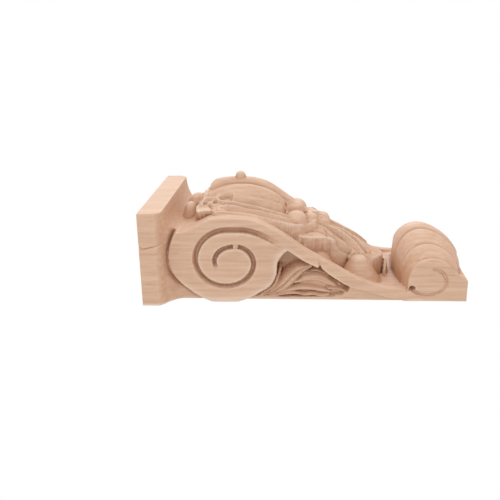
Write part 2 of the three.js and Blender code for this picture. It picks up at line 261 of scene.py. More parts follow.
# Fronds of the side recess: a middle line, half width and height along it, and a middle vein
fronds = [
    {"line": [(71, 0.6), (78, 1.6), (86.5, 3.8), (96, 10.5), (101.5, 16.5), (107.5, 21.4),
              (114.5, 23.6)],
     "wide": [1.2, 2.2, 3.0, 5.6, 6.2, 5, 1.6], "high": [10, 10, 10, 10.4, 10.4, 9.8, 9], "vein": 1.8},
    {"line": [(80, 3.4), (88.5, 9), (92.2, 16.8), (93.6, 22)], "wide": [1.4, 2.4, 2.2, 1.4],
     "high": [9, 9.4, 9.4, 8], "vein": 0},
    {"line": [(104, 11.4), (111, 15), (118, 15.8), (124, 14.2), (131, 9.8)],
     "wide": [1.2, 3, 4.0, 4.2, 2.4], "high": [8, 9.4, 9.6, 9.4, 8.4], "vein": 1.0},
    {"line": [(112, 19.4), (118, 20.6), (124, 18.6), (128, 16)], "wide": [0.8, 1.3, 1.2, 0.6],
     "high": [6.5, 7.6, 7.4, 6], "vein": 0},
    {"line": [(92, 4.4), (99, 6.2), (105, 7.8), (112, 8.4), (120, 7.2), (128, 5)],
     "wide": [1.2, 2, 2.3, 2.5, 2.2, 1.4], "high": [9.6, 9.8, 10.2, 10.2, 9.6, 8.4], "vein": 0.8},
    {"line": [(84, 2.2), (92, 3.4), (98, 4.4), (104, 4.8), (110, 3.6), (116, 4.2), (121, 3.0),
              (127, 3.2)],
     "wide": [1.4, 1.4, 1.5, 1.5, 1.2, 1.5, 1.2, 1.2],
     "high": [10.4, 10.8, 11, 11, 10.4, 11, 10.2, 9.6], "vein": 0.4},
    {"line": [(126.6, 8), (131, 8.2), (135.4, 7.6), (138.2, 5.4), (136.4, 3), (131.6, 2.8)],
     "wide": [1.4, 1.6, 1.6, 1.5, 1.4, 1.2], "high": [9, 9.6, 9.8, 9.8, 9.6, 9], "vein": 0},
]
# Slits cut through to a deeper floor below the band: a line of (a, h), half width and depth
frondSlits = [{"line": [(129, 15.8), (131.4, 14.6), (133.4, 13)], "wide": 1.3, "deep": 6},
              {"line": [(136.6, 11), (139, 9.6), (141, 8.4)], "wide": 1.1, "deep": 5}]
# Cracks in the near side, at the plate's end, written the same way
checks = [{"line": [(-1, 42.6), (2.4, 40.4), (5, 41), (8.6, 41.8), (12, 42.6), (14, 43.4)],
           "wide": 0.55, "deep": 1.3},
          {"line": [(0, 15), (4, 15.6), (9, 15.4)], "wide": 0.4, "deep": 0.4}]
# A bit of wood left standing across the near side's inner groove: its middle (a, h), its reach
# along a and h, how soft its edges are and how far below the face it stops
bridge = {"at": (64.0, 39.2), "reach": (2.1, 3.6), "soft": 0.5, "below": 0.5}


def spiralLine(spiral):
    quarters = len(spiral["radii"]) - 2 + spiral["lastQuarter"]
    q = np.linspace(0, quarters, 90)
    radius = curveAt(list(enumerate(spiral["radii"])), q)
    angle = np.radians(spiral["startAngle"] + q * 90)
    poleA, poleH = spiral["pole"]
    turn = np.stack([poleA + radius * np.cos(angle), poleH + radius * np.sin(angle)], 1)
    return np.vstack([smoothLine(spiral["lead"], 4)[:-1], turn])


def spiralTurn(line):
    # which side of the line the spiral's inside is on
    p = line[len(line) // 2 - 1:len(line) // 2 + 2]
    one, two = p[1] - p[0], p[2] - p[1]
    return 1 if one[0] * two[1] - one[1] * two[0] > 0 else -1


def offsetLine(line, amount):
    along = np.gradient(line, axis=0)
    along /= np.linalg.norm(along, axis=1, keepdims=True)
    return line + np.stack([-along[:, 1], along[:, 0]], 1) * amount


def grooveDepthAt(spiral, q, along):
    # q is the distance from the groove's line, positive towards the inside of the spiral
    outer = mix(*spiral["outerSlope"], along)
    slope = np.clip((q + outer) / (outer - groove["floor"]), 0, 1)
    wall = np.clip((spiral["innerEdge"] - q) / grid["snapRun"], 0, 1)
    ends = smoothStep(along / spiral["fade"]) * smoothStep((1 - along) / groove["tail"])
    return spiral["deep"] * np.minimum(slope ** groove["hollowed"], wall) * ends


def frondHeightAt(frond, a, h):
    away, _, _, _, along = nearLine(smoothLine(frond["line"], 5), a, h)
    marks = np.linspace(0, 1, len(frond["wide"]))
    share = away / np.interp(along, marks, frond["wide"])
    body = np.interp(along, marks, frond["high"]) * np.sqrt(np.clip(1 - share ** 2, 0, 1))
    body = body - sideCarving["frondSteep"] * np.maximum(share - 1, 0)
    return body - frond["vein"] * np.exp(-(away / sideCarving["veinWide"]) ** 2)


def slitDepthAt(slit, a, h):
    away, _, _, _, _ = nearLine(slit["line"], a, h)
    return slit["deep"] * np.exp(-(away / slit["wide"]) ** 2)


def recessHalfAt(a, h):
    # half width of the recess between scroll and foot, with its fronds
    v, s = corbel, sideCarving
    relief = np.zeros(a.shape)
    for alongA, alongH, high in recessBeds:
        relief = relief + high * ramp(a, *alongA) * ramp(h, *alongH)
    for frond in fronds:
        relief = np.maximum(relief, frondHeightAt(frond, a, h) + s["frondRise"])
    for slit in frondSlits:
        relief = relief - slitDepthAt(slit, a, h)
    # behind the band's chip the recess stays clear of the channel floor on the front
    behind = ramp(h - frontEdgeAt(a), *s["behindBand"])
    return np.maximum(v["recessHalf"] + relief, s["bandInside"] * behind)


def sideWidthAt(a, h, signed, grooves):
    # half width of the carved side; signed is the distance into the scroll's outline
    v, s = corbel, sideCarving
    worn = s["wornDeep"] * np.clip(1 - signed / s["wornWide"], 0, 1) ** 2
    slab = s["slabRise"] * ramp(a, *s["slabFrom"]) * ramp(a + s["slabLean"] * signed, *s["slabTo"])
    for rim in s["slabAcross"]:
        slab = slab * ramp(signed, *rim)
    cove = coveHalfAt(a)
    scroll = np.maximum(scrollFaceAt(a) - worn - grooves + slab, cove)
    gap = s["gapDeep"] * np.exp(-((signed + s["gapAway"]) / s["gapWide"]) ** 2)
    shaft = np.maximum(v["shaftHalf"], cove) - gap * ramp(a, *s["gapTo"])
    wall = ramp(h, np.interp(a, *s["strip"]), s["stripWall"])
    recess = mix(v["shaftHalf"], np.minimum(recessHalfAt(a, h), v["shaftHalf"] + 1), wall)
    return np.where(signed >= 0, scroll, np.where(a < s["recessFrom"], shaft, recess))


def withFlaws(a, h, width):
    # the near side's cracks, and the bit of wood across its groove
    depth = np.zeros(a.shape)
    for check in checks:
        depth = np.maximum(depth, slitDepthAt(check, a, h))
    onBridge = np.ones(a.shape)
    for place, at, reach in zip((a, h), bridge["at"], bridge["reach"]):
        onBridge = onBridge * ramp(np.abs(place - at), reach, -bridge["soft"])
    return np.maximum(width - depth, (scrollFaceAt(a) - bridge["below"]) * onBridge)


# The upper leaf is lofted across these lines, from the middle outwards. Each is (a, c, h), with c
# the distance from the middle; "crest" lines are rounded over, "crease" lines are cut sharp.
upperLines = [
    ("crest", [(43, 0, 72), (45, 0, 74.4), (49, 0, 75.9), (53.5, 0, 76.6), (60, 0, 77.1), (68, 0, 76.9),
               (76.3, 0, 75.9), (84, 0, 73.4), (92.5, 0, 67.8), (96.8, 0, 64.6), (102.4, 0, 60.4),
               (114, 0, 52)]),
    ("crest", [(43, 4.5, 71), (52, 4.5, 75.2), (60, 4.6, 76), (76, 4.6, 74.8), (87, 4.6, 70.4),
               (95, 4.8, 64.4), (103, 5, 59), (114, 5, 50.5)]),
    ("crease", [(43, 5.4, 68.6), (52, 5.4, 71.8), (60, 5.6, 73.1), (76, 5.6, 71.9), (87, 5.4, 68.1),
                (95, 5.4, 62.2), (103, 6, 57.4), (114, 6, 49.6)]),
    ("crest", [(43, 10, 67.6), (52, 10.5, 71.6), (60, 11, 73.4), (69, 11, 73.7), (80, 11, 71.4),
               (89, 10.5, 67.4), (95, 9.4, 62.6), (99, 8.6, 57.6), (114, 9, 49.4)]),
    ("crest", [(43, 15.4, 64.8), (52, 17, 68.2), (60, 18.2, 69.2), (69, 18.6, 68.6), (78, 18, 66.6),
               (87, 16, 63.6), (93, 13, 60.4), (98, 11.6, 55), (114, 13, 48.6)]),
    ("crease", [(43, 21, 62.4), (52, 23, 63.4), (62, 23.8, 62.4), (70, 23.6, 60.6), (78, 22.8, 58.6),
                (88, 20.6, 55.8), (95, 17.6, 53.4), (99, 16, 51.4), (114, 17, 47)]),
    ("crest", [(43, 25.4, 62), (52, 26, 63.8), (61, 26, 64), (70, 26, 62.2), (81, 25.4, 59.6),
               (95, 23, 54.8), (101, 21, 52), (114, 20, 47)]),
    ("crest", [(43, 31, 60), (60, 32.4, 61), (70, 32.6, 59.2), (80, 32.2, 57), (90, 31, 54.4),
               (98, 29.4, 52), (107, 26, 49.2), (114, 22.6, 46.8)]),
    ("crest", [(43, 39, 58.8), (50, 40, 60), (60, 39.6, 60), (70, 38.8, 58.8), (80, 37.2, 56.2),
               (90, 35, 53.4), (98, 32.4, 51), (107, 29.2, 48.6), (114, 24.6, 46.4)]),
]
# Upper leaf: its plan, and how steep its walls are before and after a ramp
upperLeaf = {
    "plan": [(48, 39), (52, 41.8), (60, 42.6), (70, 42.2), (80, 39.8), (90, 36.6), (98, 33.6),
             (103, 31.6), (108, 28.2), (112, 24.2), (116, 18), (119, 12), (120, 0), (120, -1), (42, -1),
             (42, 13), (44.5, 22), (46, 32)],
    "steep": (25, 3), "softer": (110, 4),
}
# Lobe beside the lower leaf: its plan, and the height of its top, which falls down the length
# and rises towards the middle
sideLobe = {
    "plan": [(106, 31.4), (110.2, 31.6), (115, 29.4), (120.3, 25.8), (126.4, 21.6), (130.6, 21.2),
             (132.6, 19.4), (130, 15), (121, 10), (106, 10)],
    "from": 110.6, "out": 41.2, "fall": 0.24, "rise": 0.4, "riseHalf": 30, "riseWide": 9, "steep": 25,
}
# Lower leaf: its plan, its middle line as (a, h), its crown across, a step down where it starts,
# the tilt of its outer part and the knoll at its outer tip
lowerLeaf = {
    "plan": [(114, 17), (121, 16.8), (126.6, 17.6), (131, 19.4), (135.4, 19), (139.4, 18.6),
             (141.4, 19), (142.4, 21), (142.8, 25), (145.6, 28), (151, 28.4), (155.4, 25.6),
             (157.6, 20.4), (159.4, 16), (162.4, 12.4), (165, 8.6), (166.6, 5.4), (167.4, 2),
             (167.6, -1), (114, -1)],
    "middle": [(106, 49), (114, 48), (121, 46), (127.3, 43.4), (131.7, 40.4), (136.1, 37.8),
               (140.5, 36.2), (144.9, 34.6), (149.3, 32), (153.8, 28.6), (158.2, 25.6), (163.5, 22.9),
               (168, 21)],
    "crown": 0.014, "step": 1.4, "stepAt": (124, 8), "steep": 20, "end": 178,
    "tilt": 0.55, "tiltFrom": 11.5, "tiltWide": 9, "tiltTo": (151, -10),
    "knoll": 0.85, "knollFrom": 16, "knollWide": 12, "knollAt": (139, 5),
}
# Block at the leaf's root: its plan, and its top, which rises towards the middle
rootBlock = {
    "plan": [(34.4, 22), (35, 28), (36.4, 33.4), (42, 34.8), (50.6, 36.4), (54, 26), (54, 7), (38, 7),
             (36, 14)],
    "top": [(34, 59.4), (42, 61.2), (51, 62.0)], "rise": 0.28, "riseHalf": 27, "riseWide": 13, "steep": 25,
}
# Rounded lobes: middle (a, c), reach along a and c, height of the top, how far the sides round
# down, how steeply they end and the turn of the long axis in degrees
leafLobes = [
    {"name": "ballNearPlate", "at": (28.9, 8.6), "reach": (5.3, 5.6), "top": 60.8, "round": 6.5},
    {"name": "barNearPlate", "at": (32.6, 0), "reach": (4.8, 6.2), "top": 65.0, "round": 3.6},
    {"name": "rootMiddle", "at": (41.5, 0), "reach": (6.6, 12.6), "top": 66.9, "round": 4.0,
     "steep": 2},
    {"name": "eyeBump", "at": (44.8, 21.6), "reach": (2.8, 2.2), "top": 64.2, "round": 1.4,
     "steep": 1.5},
    {"name": "rootPost", "at": (53.8, 30.6), "reach": (4.6, 7.4), "top": 63.6, "round": 2.6},
    {"name": "upperTip", "at": (103.0, 3.0), "reach": (6.6, 6.0), "top": 59.2, "round": 3.2},
    {"name": "knob", "at": (104.0, 17.2), "reach": (7.4, 9.8), "top": 56.0, "round": 5.6, "turn": 8,
     "steep": 3},
    {"name": "tipShelf", "at": (114.2, 4), "reach": (5.8, 9), "top": 52.4, "round": 3.2, "steep": 2},
    {"name": "tipCurl", "at": (121.9, 2.6), "reach": (6.8, 6.6), "top": 50.4, "round": 4.8},
    {"name": "junction", "at": (115.2, 14.4), "reach": (3.6, 4.4), "top": 47.6, "round": 2.2,
     "turn": 30},
    {"name": "lowLobe", "at": (148.6, 22.2), "reach": (6.4, 6.4), "top": 25.2, "round": 3.4,
     "steep": 1.6},
]
# Ribs: a line of (a, c, h) along the top, half width at its ends, how far the sides round down
# and how steeply they end
leafRibs = [
    {"line": [(50.6, 14.6, 69.2), (49, 17.6, 67.6), (49.6, 21, 66.2), (52.6, 24.6, 65.8),
              (57, 26, 65.9), (62, 26.2, 65.4), (70, 26.2, 63.5), (81, 25.6, 60.9), (95, 23.2, 56),
              (100, 21.4, 53.6)],
     "wide": (1.2, 1.0), "round": 1.0},
    {"line": [(56, 29.4, 64.3), (62, 30.2, 63.7), (70, 30.4, 61.8), (80, 29.8, 59.6), (90, 28.6, 56.8),
              (98, 27, 54), (104, 25, 51.2)],
     "wide": (1.0, 0.8), "round": 0.8},
    {"line": [(50, 38.4, 61.6), (60, 38.2, 61.4), (70, 37.6, 60), (80, 36.2, 57.4), (90, 34.2, 54.6),
              (98, 31.8, 52), (104, 29.4, 50.2), (109, 25.4, 48.8), (112.6, 21, 47.8), (115, 15, 47.4),
              (118, 11, 46.6)],
     "wide": (1.6, 1.0), "round": 1.0, "steep": 25},
    {"line": [(38.2, 22.4, 62.6), (39.2, 19, 64.8), (43, 17, 66.2), (47.4, 18.6, 66.2),
              (50.4, 22.6, 65.8)],
     "wide": (1.2, 1.1), "round": 0.7},
    {"line": [(110, 22.8, 45.4), (116, 19.6, 44.2), (121, 17.4, 42.4), (125, 17, 40.4),
              (126.6, 19.4, 39.2)],
     "wide": (0.9, 0.8), "round": 0.7},
    {"line": [(116, 15, 46.6), (121.6, 13, 44.4), (125.5, 13.4, 42.0), (129.8, 14, 38.2),
              (134.2, 14.2, 34), (139.3, 14, 29.6), (144, 17.4, 26.2)],
     "wide": (1.0, 1.1), "round": 0.9},
    {"line": [(126.2, 18.6, 38.4), (129, 21, 35.6), (132, 21, 32), (137.7, 18.8, 25.6),
              (140.4, 17.8, 22.6)],
     "wide": (0.8, 0.9), "round": 0.6, "steep": 25},
    {"line": [(168.2, 9.6, 10.6), (168.8, 6.4, 13.4), (169.4, 1, 15)], "wide": (1.2, 1.2), "round": 0.8,
     "steep": 12},
    {"line": [(121, 9.4, 46.4), (130, 7.6, 42.6), (139, 9, 37.6), (147, 11.6, 31.4), (152, 14.6, 26)],
     "wide": (1.0, 1.1), "round": 0.9},
    {"line": [(124, 5, 47), (132, 3.8, 42), (141.6, 5, 37.2), (150, 7.6, 31.4), (156, 11.6, 25.2)],
     "wide": (1.0, 1.1), "round": 0.9},
]
# Cuts into the leaf: a line of (a, c), half width and depth at its two ends
leafCuts = [
    {"line": [(54, 33.6), (60, 33.8), (68, 34), (76, 33.6), (85, 32.4), (98, 29.8), (105, 27.4)],
     "wide": (1.3, 0.8), "deep": (2.4, 1.0)},
    {"line": [(55, 28), (62, 28.4), (70, 28.4), (80, 27.8), (90, 26.4), (98, 24.6)], "wide": (0.8, 0.7),
     "deep": (2.8, 2.0)},
    {"line": [(62, 18.8), (70, 19), (78, 18.2), (87, 16), (92, 13.6)], "wide": (0.7, 0.6),
     "deep": (0.5, 0.5)},
    {"line": [(124.8, 15), (127, 16.4), (130.5, 17.8), (135.5, 17), (141.6, 16)], "wide": (0.8, 1.6),
     "deep": (3, 6)},
    {"line": [(120, 11.2), (129, 9.6), (137, 11), (144, 13.8), (149, 16.4)], "wide": (0.8, 1.0),
     "deep": (1.2, 2.2)},
    {"line": [(122, 7.2), (131, 5.6), (140, 7), (148.5, 9.6), (154, 13)], "wide": (0.8, 1.0),
     "deep": (1.2, 2.2)},
    {"line": [(127, 2.4), (138, 2.2), (146, 3.2), (153, 5), (158, 8)], "wide": (0.8, 1.0),
     "deep": (1.0, 1.8)},
    {"line": [(151.4, 17.6), (153.6, 19.6), (154.6, 22)], "wide": (0.9, 1.2), "deep": (1.6, 3)},
    {"line": [(97, 9.8), (101, 9.9), (107, 10.4), (111.5, 9.6)], "wide": (0.8, 0.8),
     "deep": (2.0, 1.2)},
    {"line": [(96.4, 12), (96.2, 16), (97, 21)], "wide": (0.9, 0.8), "deep": (2.6, 1.4)},
    {"line": [(110.6, 25.4), (114, 21.8), (119, 18.8), (123.4, 18.4)], "wide": (0.8, 0.8),
     "deep": (1.8, 1.0)},
    {"line": [(44, 24), (46, 29), (47.6, 33.6)], "wide": (0.8, 0.8), "deep": (1.2, 1.2)},
    {"line": [(33.6, 8.6), (36.4, 11), (37, 15), (35.6, 20)], "wide": (0.9, 0.9), "deep": (2.4, 2.0)},
    {"line": [(36.8, 0), (36.8, 5), (35.6, 7.6)], "wide": (0.9, 0.8), "deep": (2.0, 1.6)},
    {"line": [(119.4, 4.2), (123.4, 4.6), (127.4, 4.6), (129.4, 1.6)], "wide": (0.7, 0.7),
     "deep": (1.4, 1.2)},
]
# Eyes bored where the leaf's folds meet: middle (a, c), reach along a and c, and depth
leafEyes = [
    {"at": (55.4, 20.4), "reach": (4.9, 3.4), "deep": 3.6},
    {"at": (41.0, 21.6), "reach": (1.4, 1.2), "deep": 3.0},
    {"at": (48.0, 21.8), "reach": (1.3, 1.1), "deep": 3.0},
    {"at": (125.6, 18.9), "reach": (1.3, 1.2), "deep": 3.0},
    {"at": (96.4, 8.4), "reach": (1.3, 1.3), "deep": 2.6},
    {"at": (110.8, 5.8), "reach": (1.3, 1.6), "deep": 2.4},
    {"at": (117.4, 5.6), "reach": (1.6, 1.5), "deep": 2.6},
]
# Channel between the bands: how deep it is sunk along a, and where its wall rises.
# Under the roll the front is plain up to a place, and outside the roll it is the volute's face.
channel = {
    "sunk": ([90, 98, 106, 130, 145, 158, 170, 182], [0, 3.6, 5.6, 6.2, 5.4, 3.4, 2.4, 0]),
    "wall": (39.4, -2.2), "underRoll": 8.2, "underTo": 196, "faceFrom": 40.3,
}
# Pit left in the channel by the cutter, before the roll
channelPit = {"at": (168.2, 13.0), "reach": (1.6, 1.6), "deep": 2.4}
# Roll at the foot. Its cushions run over c from a step to a middle, and each is fuller than the
# one outside it. A full cushion is taller than the volute, its middle lies nearer the plate, and
# it is wider and more or less square towards the plate and away from it.
roll = {
    "cushions": [(40.2, 25.1, 0.05, 0.44), (24.9, 6.1, 0.5, 0.86), (5.9, 0, 0.93, 1.0)],
    "taller": 12.2, "moved": 4, "wider": (1.7, 14.1), "squarer": (0.25, -0.3), "from": 170,
    "steps": (6.0, 25.0, 40.2), "stepDeep": 1.3, "stepWide": 0.7, "stepFade": (0, 4),
    "lean": 5.7, "leanEnds": (164, 200),
}
# How cuts, eyes and pits fade at their rims, and how far a wall's foot lies below what is clear
cutting = {"fade": (0, 1.5), "eyeRim": (1.15, -0.45), "pitRim": (1.5, -1), "clear": 0.6}
# Walls that are cut back under their tops: the plan, how far in, and from where to where
undercuts = [(upperLeaf["plan"], 0.4, 97, 112), (sideLobe["plan"], 0.5, 108, 134),
             (lowerLeaf["plan"], 1.4, 127, 172), (rootBlock["plan"], 1.0, 30, 52)]


def loftHeightAt(lines, a, c):
    # height between lines that run down the length, at each point's own station
    places, heights = [], []
    for _, points in lines:
        p = np.array(points, float)
        places.append(curveAt(list(zip(p[:, 0], p[:, 1])), a))
        heights.append(curveAt(list(zip(p[:, 0], p[:, 2])), a))
    loft = heights[-1].copy()
    for k in range(len(lines) - 2, -1, -1):
        share = np.clip((c - places[k]) / np.maximum(places[k + 1] - places[k], 0.1), 0, 1)
        kinds = (lines[k][0], lines[k + 1][0])
        if kinds == ("crest", "crease") or k == 0:
            eased = share ** 2
        elif kinds == ("crease", "crest"):
            eased = 1 - (1 - share) ** 2
        else:
            eased = (share + share ** 2) / 2
        loft = np.where(c < places[k + 1], mix(heights[k], heights[k + 1], eased), loft)
    return loft


def droopAt(share):
    # how far a rounded top has sunk, at a share of its reach
    return 1 - np.sqrt(1 - 0.98 * np.clip(share, 0, 1) ** 2)


def lobeHeightAt(lobe, a, c):
    turn = math.radians(lobe.get("turn", 0))
    x, y = a - lobe["at"][0], c - lobe["at"][1]
    x, y = x * math.cos(turn) + y * math.sin(turn), y * math.cos(turn) - x * math.sin(turn)
    away = np.hypot(x / lobe["reach"][0], y / lobe["reach"][1])
    fall = np.maximum(0, away - 1) * min(lobe["reach"]) * lobe.get("steep", 4)
    return lobe["top"] - lobe["round"] * droopAt(away) - fall


def ribHeightAt(rib, a, c):
    line = smoothLine(rib["line"], 4)
    away, _, _, _, along = nearLine(line[:, :2], a, c)
    run = np.concatenate([[0], np.cumsum(np.linalg.norm(np.diff(line[:, :2], axis=0), axis=1))])
    top = np.interp(along, run / run[-1], line[:, 2])
    wide = mix(*rib["wide"], along)
    return top - rib["round"] * droopAt(away / wide) - np.maximum(0, away - wide) * rib.get("steep", 7)


def edgeFall(plan, a, c, steep, rim=0.5, rimWide=0.7):
    # how far a wall has fallen outside a leaf's plan, with the arris rounded over
    away, _, _, _, _ = nearLine(plan + plan[:1], a, c)
    worn = rim * np.clip(1 - away / rimWide, 0, 1) ** 2
    return np.where(insideOf(plan, a, c), worn, rim + away * steep)


def cutDepthAt(cut, a, c):
    away, _, _, _, along = nearLine(smoothLine(cut["line"], 4), a, c)
    return mix(*cut["deep"], along) * np.exp(-(away / mix(*cut["wide"], along)) ** 2)


def softMax(heights, blend=0.5):
    top = heights[0]
    for other in heights[1:]:
        gap = np.clip(1 - np.abs(top - other) / blend, 0, 1)
        top = np.maximum(top, other) + gap ** 2 * blend / 4
    return top


def rollFullAt(c):
    full = np.zeros(c.shape)
    for outer, inner, low, high in roll["cushions"]:
        share = np.clip((outer - c) / (outer - inner), 0, 1)
        full = np.where(c < outer, mix(low, high, np.sin(share * math.pi / 2)), full)
    return full


def rollHeightAt(a, c):
    v, full = corbel, rollFullAt(c)
    x = a - v["footVoluteAt"] + roll["moved"] * full
    side = np.where(x < 0, 0, 1)                 # towards the plate, or away from it
    reach = v["footRadius"] + np.take(roll["wider"], side) * full
    power = 2 + np.take(roll["squarer"], side) * full
    share = np.clip(np.abs(x) / reach, 0, 1)
    tall = v["footRadius"] + roll["taller"] * full
    dome = v["footVoluteOut"] + tall * (1 - share ** power) ** (1 / power)
    return np.where((a > roll["from"]) & (share < 1), dome, 0)


def plainFrontAt(a, c):
    # the front without its leaf and roll
    v = corbel
    edge = frontEdgeAt(a)
    above = edge - np.interp(a, *channel["sunk"]) * ramp(c, *channel["wall"])
    below = np.where(a < channel["underTo"], channel["underRoll"], np.minimum(edge, v["footEndOut"][1]))
    below = np.where(c > channel["faceFrom"], edge, below)
    return np.where(a < v["rollAt"], above, below)


def upperLeafAt(a, c):
    steep = mix(*upperLeaf["steep"], ramp(a, *upperLeaf["softer"]))
    return loftHeightAt(upperLines, a, c) - edgeFall(upperLeaf["plan"], a, c, steep)


def sideLobeAt(a, c):
    v = sideLobe
    down = a - v["from"]
    rise = v["rise"] * np.clip(v["riseHalf"] - down / 2 - c, 0, v["riseWide"])
    return v["out"] - v["fall"] * down + rise - edgeFall(v["plan"], a, c, v["steep"])


def lowerLeafAt(a, c):
    v = lowerLeaf
    stepped = ramp(a, *v["stepAt"])
    tilt = v["tilt"] * np.clip(c - v["tiltFrom"], 0, v["tiltWide"]) * stepped * ramp(a, *v["tiltTo"])
    knoll = v["knoll"] * np.clip(c - v["knollFrom"], 0, v["knollWide"]) * ramp(a, *v["knollAt"])
    top = curveAt(v["middle"], a) - v["crown"] * c ** 2 - v["step"] * stepped
    return top - tilt - knoll - edgeFall(v["plan"], a, c, v["steep"])


def rootBlockAt(a, c):
    v = rootBlock
    top = curveAt(v["top"], a) + v["rise"] * np.clip(v["riseHalf"] - c, 0, v["riseWide"])
    return top - edgeFall(v["plan"], a, c, v["steep"])


def leafHeightAt(a, c, plain):
    forms = [upperLeafAt(a, c), sideLobeAt(a, c), lowerLeafAt(a, c), rootBlockAt(a, c)]
    forms += [lobeHeightAt(lobe, a, c) for lobe in leafLobes]
    forms += [ribHeightAt(rib, a, c) for rib in leafRibs]
    leaf = softMax(forms)
    standsOut = ramp(leaf - plain, *cutting["fade"])
    for cut in leafCuts:
        leaf = leaf - cutDepthAt(cut, a, c) * standsOut
    for eye in leafEyes:
        leaf = leaf - eye["deep"] * ramp(ovalAway(eye, a, c), *cutting["eyeRim"])
    return np.where(a < lowerLeaf["end"], leaf, 0)


def frontHeightAt(a, d):
    v = corbel
    c = np.abs(d)
    plain = plainFrontAt(a, c)
    front = np.where(a > v["plateFront"], softMax([plain, leafHeightAt(a, c, plain)]), plain)
    away = np.hypot(a - v["beadAt"], c)
    bead = v["beadOut"] + np.sqrt(np.clip(v["beadRadius"] ** 2 - away ** 2, 0, None))
    front = np.where(away < v["beadRadius"], np.maximum(front, bead), front)
    front = front - channelPit["deep"] * ramp(ovalAway(channelPit, a, c), *cutting["pitRim"])
    rolled = rollHeightAt(a, c)
    for step in roll["steps"]:
        cut = roll["stepDeep"] * np.exp(-((c - step) / roll["stepWide"]) ** 2)
        rolled = rolled - cut * ramp(rolled - plain, *roll["stepFade"])
    return np.maximum(front, rolled)


def columnShares():
    # lines down the front as shares of its half width, with a close pair at each of the roll's steps
    half = corbel["footHalf"]
    right = spread(grid["columns"], half) / half
    return np.concatenate([-right[:0:-1], right])


def carvedSide():
    # one side's grid, in rows from the wall to the front arris: a, h and half width
    beyond = {"a": 225, "above": 90, "under": -3}       # where the outline closes, clear of the block
    station = spread(grid["stations"], corbel["length"])
    rise = np.linspace(0, 1, grid["sideRows"] + 1)
    a = np.repeat(station[None, :], len(rise), 0)
    h = rise[:, None] * frontEdgeAt(station)[None, :]
    free = np.ones(a.shape, bool)
    free[0], free[-1], free[:, 0], free[:, -1] = False, False, False, False
    # the scroll's outline
    lower = np.vstack([smoothLine(voluteLeft), smoothLine(voluteBelly), bandBack])
    outline = np.vstack([[(lower[0][0], beyond["above"])], lower,
                         [(beyond["a"], beyond["under"]), (beyond["a"], beyond["above"])]])
    away, _, nearA, nearH, _ = nearLine(lower, a, h)
    signed = np.where(insideOf(outline, a, h), away, -away)
    a, h, signed, free = snapTo(a, h, signed, nearA, nearH, free)
    # the spiral grooves and their steep inner walls
    grooves = np.zeros(a.shape)
    for spiral, line in ((bigSpiral, spiralLine(bigSpiral)), (footSpiral, smoothLine(footSpiral["line"]))):
        turn = spiralTurn(line)
        away, side, nearA, nearH, along = nearLine(offsetLine(line, turn * spiral["innerEdge"]), a, h)
        near = free & (along > spiral["fade"] / 2) & (along < 1 - groove["tail"] / 3)
        a, h, _, left = snapTo(a, h, side * turn * away, nearA, nearH, near)
        free = free & (left | ~near)
        away, side, _, _, along = nearLine(line, a, h)
        grooves = np.maximum(grooves, grooveDepthAt(spiral, side * turn * away, along))
    pit = footSpiral["pit"]
    bored = pit["deep"] * ramp(ovalAway(pit, a, h), *cutting["pitRim"])
    return a, h, sideWidthAt(a, h, signed, grooves) - bored


def carvedFront(sideA, half):
    # the front's grid from arris to arris: a, d and h
    shares = columnShares()
    a = np.repeat(sideA[None, :], len(shares), 0)
    d = shares[:, None] * half[None, :]
    free = np.ones(a.shape, bool)
    free[:2], free[-2:], free[:, 0], free[:, -1] = False, False, False, False
    side, c = np.sign(d), np.abs(d)
    under = np.zeros(a.shape + (2,))
    for plan, cutIn, low, high in undercuts:
        away, _, nearA, nearC, _ = nearLine(plan + plan[:1], a, c)
        signed = np.where(insideOf(plan, a, c), away, -away)
        onWall = free & (a > low) & (a < high)
        a, c, signed, left = snapTo(a, c, signed, nearA, nearC, onWall)
        foot = onWall & ~left & (signed < 0)
        inward = np.stack([nearA - a, nearC - c], -1) / grid["snapRun"]
        under += np.where(foot[..., None], inward * cutIn, 0)
        free = free & (left | ~onWall)
    # round the roll the rows lean towards the plate, as its full cushions do
    lean = roll["lean"]
    for end in roll["leanEnds"]:
        lean = lean * ramp(a, end, corbel["rollAt"] - end)
    a = np.where(free, a - rollFullAt(c) * lean, a)
    h = frontHeightAt(a, side * c)
    # walls are cut back below their tops, where they stand clear of the channel
    under *= (h < frontEdgeAt(a) + cutting["clear"])[..., None]
    return a + under[..., 0], side * (c + under[..., 1]), h


